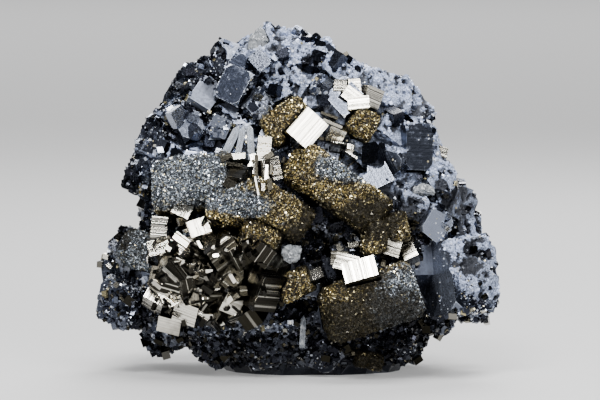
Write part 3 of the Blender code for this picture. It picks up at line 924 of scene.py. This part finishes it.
def stand_crystals(name, crystal, rows, ground):
    """Stands copies of one small crystal on the front, by rows like those of BLADES."""
    random = np.random.default_rng(2)
    copies = []
    for x, z, out, sides, (pitch, yaw, roll) in rows:
        hit = ground.ray_cast(Vector((x, -200, z)), Vector((0, 1, 0)))[0]
        turn = Euler([math.radians(angle) for angle in (pitch, roll, yaw)], "XZY").to_quaternion()
        copy = bpy.data.objects.new(name, crystal.data.copy())
        bpy.context.scene.collection.objects.link(copy)
        middle = Vector((x, hit.y - out, z))
        copy.data.transform(Matrix.LocRotScale(middle * MM, turn, Vector(sides) * MM / CUBE_SIDE))
        write_attribute(copy, "grain", "POINT", np.full(len(copy.data.vertices), random.random()))
        copies.append(copy)
    return joined(copies, name)


def settle(obj, material, stands_for=()):
    """The last step of every piece: its finish, its body and the nodes it stands for."""
    obj.data.materials.clear()
    obj.data.materials.append(material)
    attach(obj, "root")
    if stands_for:
        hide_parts(*stands_for)


def seed_crystal(name, kind):
    """One crystal about 1 m wide, which a scatter shrinks to its size."""
    bpy.ops.object.select_all(action="DESELECT")
    if kind == "cube":
        bpy.ops.mesh.primitive_cube_add(size=CUBE_SIDE)
    elif kind == "cut cube":
        bpy.ops.mesh.primitive_cube_add(size=0.9)
        in_edit_mode(bpy.context.object, ("bevel", {"offset": 0.14, "affect": "VERTICES"}))
    elif kind == "sphenoid":
        bpy.ops.mesh.primitive_cone_add(vertices=3, radius1=0.66, radius2=0, depth=0.93)
    elif kind == "needle":
        bpy.ops.mesh.primitive_cone_add(
            vertices=4, radius1=0.24, radius2=0, depth=1, end_fill_type="NOTHING"
        )
        bpy.context.object.location.z = 0.3
        bpy.ops.object.transform_apply(location=True)
    made = bpy.context.object
    made.name = name
    return made


def random_value(graph, kind, low, high, seed):
    """A different number, or vector, for each crystal."""
    first, output = (0, 0) if kind == "FLOAT_VECTOR" else (2, 1)
    sockets = {first: low, first + 1: high, "Seed": seed}
    return graph.node("FunctionNodeRandomValue", {"data_type": kind}, sockets, output)


def scatter(host, name, crystal, likely, spacing, smallest, largest, upright=False):
    """Grows crystals over the host, most where likely, one number for each of its points, is 1."""
    seed = settings("stage").seed + len(bpy.data.objects)
    grown = bpy.data.objects.new(name, host.data.copy())
    bpy.context.scene.collection.objects.link(grown)
    write_attribute(grown, "grow", "POINT", likely)
    tree = bpy.data.node_groups.new(name, "GeometryNodeTree")
    tree.interface.new_socket("Geometry", in_out="INPUT", socket_type="NodeSocketGeometry")
    tree.interface.new_socket("Geometry", in_out="OUTPUT", socket_type="NodeSocketGeometry")
    graph = Graph(tree)
    ground = graph.node("NodeGroupInput")
    density = graph.node("GeometryNodeInputNamedAttribute", {"data_type": "FLOAT"}, {"Name": "grow"})
    places = graph.node(
        "GeometryNodeDistributePointsOnFaces",
        {"distribute_method": "POISSON"},
        {
            "Mesh": ground,
            "Distance Min": spacing,
            "Density Max": 1.4 / spacing**2,
            "Density Factor": density,
            "Seed": seed,
        },
    )
    outwards = Wire(graph, places.socket.node.outputs["Rotation"])
    lean = 0.7 if upright else math.pi
    most = (lean, lean, math.pi)
    turn = random_value(graph, "FLOAT_VECTOR", tuple(-angle for angle in most), most, seed + 1)
    turned = graph.node(
        "FunctionNodeRotateRotation", {"rotation_space": "LOCAL"}, {"Rotation": outwards, "Rotate By": turn}
    )
    sides = random_value(graph, "FLOAT_VECTOR", (1 - SQUASH,) * 3, (1 + SQUASH,) * 3, seed + 2)
    chance = random_value(graph, "FLOAT", 0.0, 1.0, seed + 3)
    size = smallest + chance**SMALL_BIAS * (largest - smallest)
    scaled = graph.node("ShaderNodeVectorMath", {"operation": "SCALE"}, {0: sides, "Scale": size})
    shape = graph.node("GeometryNodeObjectInfo", None, {"Object": crystal}, output=4)
    crystals = graph.node(
        "GeometryNodeInstanceOnPoints",
        None,
        {"Points": places, "Instance": shape, "Rotation": turned, "Scale": scaled},
    )
    tint = random_value(graph, "FLOAT", 0.0, 1.0, seed + 4)
    tinted = graph.node(
        "GeometryNodeStoreNamedAttribute",
        {"data_type": "FLOAT", "domain": "INSTANCE"},
        {"Geometry": crystals, "Name": "grain", "Value": tint},
    )
    real = graph.node("GeometryNodeRealizeInstances", None, {"Geometry": tinted})
    graph.node("NodeGroupOutput", None, {0: real})
    choose(grown)
    change = grown.modifiers.new("grow", "NODES")
    change.node_group = tree
    bpy.ops.object.modifier_apply(modifier=change.name)
    in_edit_mode(grown, ("faces_shade_flat", {}))
    grown.vertex_groups.clear()
    return grown


def coat_amount(points):
    """How likely the pale coat is at each point."""
    (x1, z1), (x2, z2) = COAT_LINE
    length = math.hypot(x2 - x1, z2 - z1)
    beyond = ((points[:, 0] - x1) * (z1 - z2) + (points[:, 2] - z1) * (x2 - x1)) / length
    amount = rise(beyond, -5, 5) * rise(points[:, 2], 14, 26)
    amount = np.maximum(amount, ellipse(points, COAT_PATCHES))
    amount = np.maximum(amount, 0.16 * rise(points[:, 2], 45, 60))
    return amount


def dress_galena():
    """The mound and its crystals, with a coat that swells where it is thick and leaves some faces bare."""
    look = settings("galena")
    made = copy_node("galena_mass", "galena_crystals")
    random = np.random.default_rng(3)
    centres = read(made.data.polygons, "center") / MM
    normals = read(made.data.polygons, "normal")
    coat = coat_amount(centres)
    bare = random.random(len(centres)) < 0.1
    shown = (centres[:, 1] < 0) & (normals[:, 2] < 0.6)
    told = np.full(len(centres), -1.0)
    # Given faces take a painted tone, light or dark, for how they look under the lights.
    for *patch, least, most, tone in BARE_FACES:
        turned = (normals[:, 0] > least) & (normals[:, 0] < most)
        told[(ellipse(centres, (patch,)) > 0.5) & shown & turned] = tone
    bare &= ~((ellipse(centres, COATED_PATCHES) > 0.5) & (normals[:, 0] > 0.35))
    bare |= told >= 0
    crust = np.where(bare, 0.0, coat * (0.7 + 0.3 * random.random(len(centres))))
    # The flat foot has no coat.
    crust[normals[:, 2] < -0.95] = 0
    groove_faces(made, seed=4)
    write_attribute(made, "facet", "FACE", np.where(told < 0, read_attribute(made, "facet"), told))
    write_attribute(made, "crust", "FACE", crust)
    finest = look.edge_length / MM
    refine(made, lambda middles: finest * (1 + 0.9 * rise(middles[:, 1], 0, 14)))
    centres = read(made.data.polygons, "center") / MM
    crust = np.minimum(read_attribute(made, "crust"), 0.1 + coat_amount(centres))
    write_attribute(made, "crust", "FACE", crust)
    write_attribute(made, "edge", "POINT", outward_edges(made))
    points = vertices(made)
    others = [frame["nodes"][name] for name in NODES if name != "galena_mass"]
    clear = rise(distance_to(others, points), 0.45, 1.6) * rise(points[:, 2], 0.6, 3.0)
    crust = read_attribute(made, "crust")
    coated = spread_to_points(made, crust)
    relief = look.crust_relief / MM
    pits = rise(fractal(points + 40, 3.4, 0.8), 0.32, 0.55)
    heights = 0.5 * fractal(points, 6.0) + 0.32 * (broken(points, 2.6) - 0.62) - 0.9 * pits
    swell(made, clear * coated * relief * heights)
    write_attribute(made, "open", "POINT", clear)
    # Painted shade in the crevices and near the foot, and more in the coat's pits.
    write_attribute(made, "deep", "POINT", painted_shade_of(made) + 0.55 * pits * coated)
    write_attribute(made, "coated", "POINT", spread_to_points(made, crust, np.maximum, 0.0))
    return made


def growth(mound):
    """How likely each kind of small crystal is at each point of the mound."""
    points = vertices(mound)
    normals = read(mound.data.vertices, "normal")
    open_skin, coated, deep = (read_attribute(mound, name) for name in ("open", "coated", "deep"))
    front = rise(-points[:, 1], -10, 0)
    back = 0.45 + 0.55 * front
    high = rise(points[:, 2], 1.5, 4)
    low = 1 - rise(points[:, 2], 38, 52)
    clean = ellipse(points, CLEAN_PATCHES, 0.1) * front
    inwards = rise(-normals[:, 1], 0.3, 0.6)
    left_rim = rise(-points[:, 0], 42, 48) * (1 - inwards)
    uncoated = (1 - coated) ** 1.5 * open_skin * high * (1 - clean) * (1 - 0.85 * left_rim)
    flat = 1 - rise(deep, 0.35, 0.6)
    nook = 0.12 + 0.25 * rise(wobble(points, 15, 2), 0.38, 0.6) + 0.9 * rise(deep, 0.22, 0.5)
    upper = np.maximum(1 - coated, ellipse(points, BLOCK_PATCHES, 0.3)) * rise(points[:, 2], 42, 54)
    upper *= 1 - rise(np.abs(points[:, 0] + 4), 30, 36)
    glints = rise(wobble(points, 9, 12), 0.25, 0.5) * (1 - 0.75 * coated)
    hollow = np.clip(rise(wobble(points, 12, 5), 0.42, 0.6) + rise(deep, 0.3, 0.6), 0, 1)
    golden = ellipse(points, SPILL_PATCHES, 0.3) * front * open_skin * (1 - clean)
    return {
        "coat": rise(coated, 0.2, 0.8) * rise(open_skin, 0.1, 0.8) * back * flat,
        "needles": ellipse(points, NEEDLE_PATCHES, 0.3) * coated * open_skin,
        "druse": uncoated * np.clip(nook, 0, 1) * back,
        "glints": glints * open_skin * front * high * (1 - 0.85 * clean),
        "blocks": upper * inwards * open_skin * (1 - clean) * 0.9,
        "chips": uncoated * front * low * hollow * 0.6,
        "gold": golden * rise(wobble(points, 7, 8), 0.3, 0.5),
    }


def chalcopyrite_bloom(points):
    """1 where the chalcopyrite's grains are blue-grey, 0 where they are gold."""
    grey = ellipse(points, GREY_PATCHES, 0.45)
    return np.clip(0.2 + grey - ellipse(points, GOLD_PATCHES, 0.4), 0, 1)


class SPECIMEN_OT_galena(bpy.types.Operator):
    """Makes the galena mound with its pale coat and small crystals"""

    bl_idname = "specimen.galena"
    bl_label = "Galena"

    def execute(self, context):
        look = settings("galena")
        mound = dress_galena()
        likely = growth(mound)
        write_attribute(mound, "bloom", "POINT", np.full(len(mound.data.vertices), 0.15))
        kinds = ("needle", "cut cube", "cube", "sphenoid")
        seeds = {kind: seed_crystal(f"{kind}_seed", kind) for kind in kinds}

        def grow(name, kind, place, width, spacing, smallest, largest, upright=False):
            sizes = (share * width for share in (spacing, smallest, largest))
            return scatter(mound, name, seeds[kind], likely[place], *sizes, upright=upright)

        coat = grow("coat_grains", "cube", "coat", look.needle_size, 0.52, 0.22, 0.8)
        needles = grow("coat_needles", "needle", "needles", look.needle_size, 0.9, 0.5, 1.0, upright=True)
        druse = grow("druse_crystals", "cube", "druse", look.druse_size, 0.4, 0.22, 1.25)
        glints = grow("galena_glints", "cube", "glints", look.glint_size, 1.35, 0.4, 1.3)
        blocks = grow("galena_blocks", "cut cube", "blocks", look.block_size, 0.6, 0.45, 1.2)
        # None of the blocks is as brassy as the lightest druse.
        write_attribute(blocks, "grain", "POINT", 0.93 * read_attribute(blocks, "grain"))
        chips = grow("pyrite_chips", "cube", "chips", settings("pyrite").chip_size, 0.7, 0.3, 1.3)
        grain = settings("chalcopyrite").grain_size
        gold = grow("gold_grains", "sphenoid", "gold", grain, 0.75, 0.7, 1.5)
        for name in ("open", "coated", "bloom"):
            mound.data.attributes.remove(mound.data.attributes[name])
        for seed in seeds.values():
            bpy.data.objects.remove(seed)
        pale = finish("pale_coat", coat_look)
        small_crystals = finish("galena_druse", druse_look)
        settle(mound, finish("galena", galena_look), ["galena_mass"])
        settle(coat, pale)
        settle(needles, pale)
        settle(druse, small_crystals)
        settle(blocks, small_crystals)
        settle(glints, finish("galena_glints", glint_look))
        settle(chips, finish("pyrite_chips", chip_look))
        settle(gold, finish("chalcopyrite_grains", chalcopyrite_grain_look))
        return {"FINISHED"}


class SPECIMEN_OT_chalcopyrite(bpy.types.Operator):
    """Makes the chalcopyrite blocks with their coat of grains"""

    bl_idname = "specimen.chalcopyrite"
    bl_label = "Chalcopyrite"

    def execute(self, context):
        look = settings("chalcopyrite")
        names = nodes_of("chalcopyrite")
        blocks = joined([copy_node(name, f"{name}_skin") for name in names], "chalcopyrite_blocks")
        finest = look.edge_length / MM
        refine(blocks, lambda middles: finest)
        in_edit_mode(blocks, ("vertices_smooth", {"factor": 0.5, "repeat": 1}))
        others = [frame["nodes"][name] for name in NODES if name not in names]
        points = vertices(blocks)
        bare = rise(distance_to(others, points), 0.45, 1.4)
        swell(blocks, bare * look.relief / MM * 0.5 * fractal(points, 3.5))
        points = vertices(blocks)
        write_attribute(blocks, "bloom", "POINT", chalcopyrite_bloom(points))
        write_attribute(blocks, "deep", "POINT", painted_shade_of(blocks))
        uncovered = rise(bare, 0.05, 0.4)
        front = 0.45 + 0.55 * rise(-points[:, 1], -5, 5)
        sphenoid = seed_crystal("sphenoid_seed", "sphenoid")
        wide = look.grain_size
        sizes = (wide * 0.8, wide * 0.7, wide * 1.7)
        grains = scatter(blocks, "chalcopyrite_grains", sphenoid, uncovered * front, *sizes)
        wide = look.dust_size
        sizes = (wide * 1.1, wide * 0.7, wide * 1.5)
        front = rise(-points[:, 1], -2, 6)
        dust = scatter(blocks, "chalcopyrite_dust", sphenoid, uncovered * front, *sizes)
        bpy.data.objects.remove(sphenoid)
        settle(dust, bpy.data.materials["chalcopyrite_grains"])
        settle(blocks, finish("chalcopyrite_skin", chalcopyrite_skin_look), names)
        settle(grains, bpy.data.materials["chalcopyrite_grains"])
        return {"FINISHED"}


class SPECIMEN_OT_pyrite(bpy.types.Operator):
    """Makes the pyrite cubes, with grooves that run along each face"""

    bl_idname = "specimen.pyrite"
    bl_label = "Pyrite"

    def execute(self, context):
        names = nodes_of("pyrite")
        cubes = joined([copy_node(name, f"{name}_cubes") for name in names], "pyrite_cubes")
        groove_faces(cubes, seed=5)
        centres = read(cubes.data.polygons, "center") / MM
        facet = read_attribute(cubes, "facet")
        # Faces in the shaded part of the heap, but not the bright plates, are painted dark as shade; the rest
        # stay nearly clean.
        darkened = (ellipse(centres, PAINTED_SHADE_HEAP, 0.05) > 0.5) & (ellipse(centres, BRIGHT_PLATES, 0.05) <= 0.5)
        facet[darkened] = 0.72 + 0.28 * facet[darkened]
        facet[~darkened] *= 0.28
        write_attribute(cubes, "facet", "FACE", facet)
        wear_edges(cubes, settings("pyrite").edge_wear)
        refine(cubes, lambda middles: 1.6)
        write_attribute(cubes, "deep", "POINT", painted_shade_of(cubes))
        plate = seed_crystal("plate_seed", "cube")
        random = np.random.default_rng(8)
        rows = list(BLADES)
        while len(rows) < len(BLADES) + HEAP_BLADES:
            x, z = random.uniform((-45, 14), (-9, 48))
            turn = random.uniform((-50, -50, -90), (50, 50, 90))
            sides = random.uniform((1.2, 1.0, 0.3), (4.2, 3.0, 1.6))
            if ellipse(np.array([[x, 0, z]]), HEAP, 0.05)[0] > 0.5:
                rows.append((x, z, random.uniform(-0.3, 0.6), tuple(sides), tuple(turn)))
        blades = stand_crystals("pyrite_blades", plate, rows, tree_of(SHAPES))
        bpy.data.objects.remove(plate)
        settle(blades, bpy.data.materials["pyrite_chips"])
        settle(cubes, finish("pyrite", pyrite_look), names)
        return {"FINISHED"}


class SPECIMEN_OT_quartz(bpy.types.Operator):
    """Makes the clear quartz prisms and the milky quartz lumps"""

    bl_idname = "specimen.quartz"
    bl_label = "Quartz"

    def execute(self, context):
        look = settings("quartz")
        clear = finish("clear_quartz", quartz_look, look.tint, 0.75, 0.06)
        milky = finish("milky_quartz", quartz_look, look.milk, 0.45, 0.16)
        shaded_glass = finish("shaded_quartz", quartz_look, look.shade_tint, 0.55, 0.12)
        for name in nodes_of("quartz"):
            piece = copy_node(name, f"{name}_crystal")
            # The low prism gets the darker glass as painted shade near the foot.
            glass = shaded_glass if name == "quartz_prism_low" else clear
            if "prism" not in name:
                glass = milky
                refine(piece, lambda middles: 0.8)
                swell(piece, 1.1 * (broken(vertices(piece), 2.2) - 0.75))
            settle(piece, glass, [name])
        return {"FINISHED"}


def aim(obj, azimuth, elevation, distance):
    """Puts a light or the camera this far from the target, looking at it."""
    level = math.cos(elevation)
    direction = Vector((math.sin(azimuth) * level, -math.cos(azimuth) * level, math.sin(elevation)))
    obj.location = TARGET + direction * distance
    obj.rotation_euler = (-direction).to_track_quat("-Z", "Y").to_euler()
    bpy.context.scene.collection.objects.link(obj)


class SPECIMEN_OT_stage(bpy.types.Operator):
    """Makes the pale floor, the soft lights and the camera"""

    bl_idname = "specimen.stage"
    bl_label = "Stage"

    def execute(self, context):
        look = settings("stage")
        bpy.ops.object.select_all(action="DESELECT")
        bpy.ops.mesh.primitive_circle_add(vertices=96, radius=30, fill_type="NGON")
        floor = context.object
        floor.name = "floor"
        floor.data.materials.append(finish("floor", floor_look))
        for name, azimuth, elevation, distance, width, height, share in LIGHTS:
            lamp = bpy.data.lights.new(name, "AREA")
            lamp.shape = "RECTANGLE"
            lamp.size, lamp.size_y = width, height
            lamp.energy = look.key_power * share
            aim(bpy.data.objects.new(name, lamp), math.radians(azimuth), math.radians(elevation), distance)
        world = bpy.data.worlds.new("studio")
        context.scene.world = world
        world.use_nodes = True
        graph = Graph(world.node_tree)
        around = graph.node("ShaderNodeBackground", None, {"Color": (0.80, 0.85, 1.0, 1), "Strength": 0.05})
        # What the camera sees beyond the floor is as bright as the floor's far side.
        horizon = {"Color": (1, 1, 1, 1), "Strength": 1.17 * look.floor_glow}
        seen = graph.node("ShaderNodeBackground", None, horizon)
        straight = graph.node("ShaderNodeLightPath")
        surface = graph.node("ShaderNodeMixShader", None, {0: straight, 1: around, 2: seen})
        graph.node("ShaderNodeOutputWorld", None, {"Surface": surface})
        lens = bpy.data.cameras.new("camera")
        lens.sensor_width = 36
        lens.lens = lens.sensor_width * look.camera_distance / look.picture_width
        lens.clip_end = 100
        camera = bpy.data.objects.new("camera", lens)
        aim(camera, 0, look.camera_elevation, look.camera_distance)
        context.scene.camera = camera
        return {"FINISHED"}


class SPECIMEN_PT_panel(bpy.types.Panel):
    """Lists the specimen's pieces"""

    bl_idname = "SPECIMEN_PT_panel"
    bl_label = "Chalcopyrite specimen"
    bl_space_type = "VIEW_3D"
    bl_region_type = "UI"
    bl_category = "Specimen"

    def draw(self, context):
        for operator in OPERATORS:
            self.layout.operator(operator.bl_idname)
        for name in SETTINGS:
            box = self.layout.box()
            box.label(text=name.capitalize())
            group = settings(name)
            for prop in group.bl_rna.properties:
                if prop.identifier not in ("rna_type", "name"):
                    box.prop(group, prop.identifier)


OPERATORS = (
    SPECIMEN_OT_galena,
    SPECIMEN_OT_chalcopyrite,
    SPECIMEN_OT_pyrite,
    SPECIMEN_OT_quartz,
    SPECIMEN_OT_stage,
)
CLASSES = (*SETTINGS.values(), *OPERATORS, SPECIMEN_PT_panel)


def register():
    for made in CLASSES:
        bpy.utils.register_class(made)
    for name, group in SETTINGS.items():
        setattr(bpy.types.Scene, f"specimen_{name}", PointerProperty(type=group))


def unregister():
    for name in SETTINGS:
        delattr(bpy.types.Scene, f"specimen_{name}")
    for made in reversed(CLASSES):
        bpy.utils.unregister_class(made)


def main():
    register()
    bpy.ops.specimen.galena()
    bpy.ops.specimen.chalcopyrite()
    bpy.ops.specimen.pyrite()
    bpy.ops.specimen.quartz()
    bpy.ops.specimen.stage()


if __name__ == "__main__":
    main()
